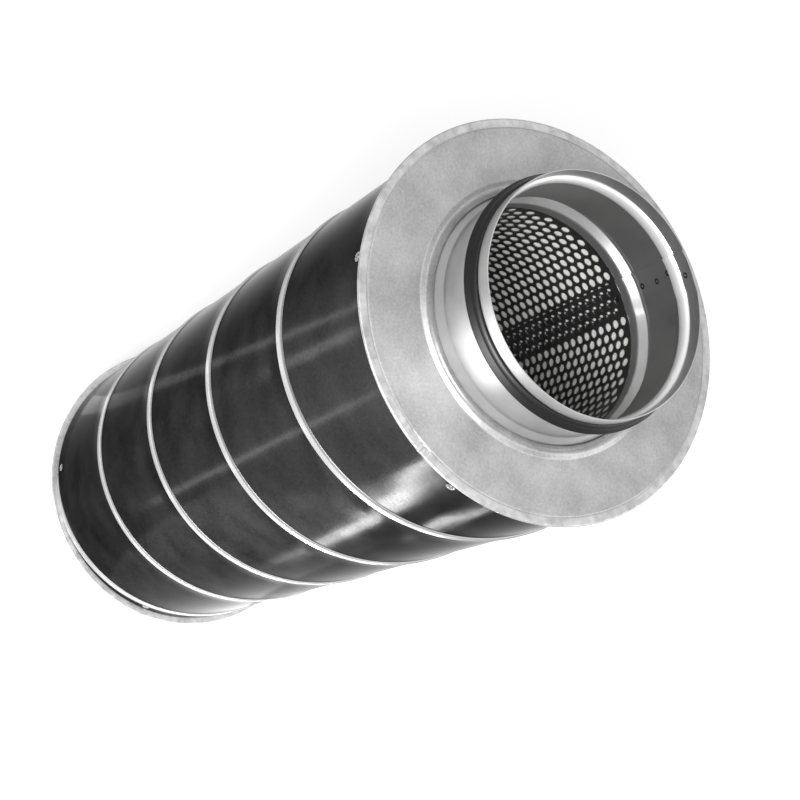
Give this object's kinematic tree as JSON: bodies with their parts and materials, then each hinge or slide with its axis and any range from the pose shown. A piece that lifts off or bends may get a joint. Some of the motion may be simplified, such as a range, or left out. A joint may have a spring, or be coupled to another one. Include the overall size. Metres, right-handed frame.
{
  "type": "duct sound attenuator",
  "caption": "Round duct sound attenuator with a perforated inner tube, spiral lock-seam casing, pressed end caps and two rubber-sealed spigots.",
  "frame": {"origin": "centre of the rear spigot's rim, on the surface that the part stands on", "axes": "+Z runs along the duct axis from the rear spigot to the front spigot, +X is any radius, and the part stands upright on its rear spigot"},
  "size_m": [0.2716, 0.2716, 0.738],
  "materials": {
    "galvanised_strip": "bright galvanised strip",
    "galvanised_cap": "matt galvanised sheet",
    "galvanised_tube": "galvanised sheet",
    "black_rubber": "moulded",
    "white_fleece": "felted",
    "mineral_wool": "fibrous",
    "rivet_metal": "bright"
  },
  "bodies": {
    "root": {"outer_casing": "galvanised_strip", "front_end_cap": "galvanised_cap", "rear_end_cap": "galvanised_cap", "inner_tube": "galvanised_tube", "front_gasket": "black_rubber", "rear_gasket": "black_rubber", "fleece_wrap": "white_fleece", "mineral_wool_mat": "mineral_wool", "front_rivet_bodies": "rivet_metal", "front_rivet_mandrels": "rivet_metal", "rear_rivet_bodies": "rivet_metal", "rear_rivet_mandrels": "rivet_metal"}
  },
  "joints": []
}
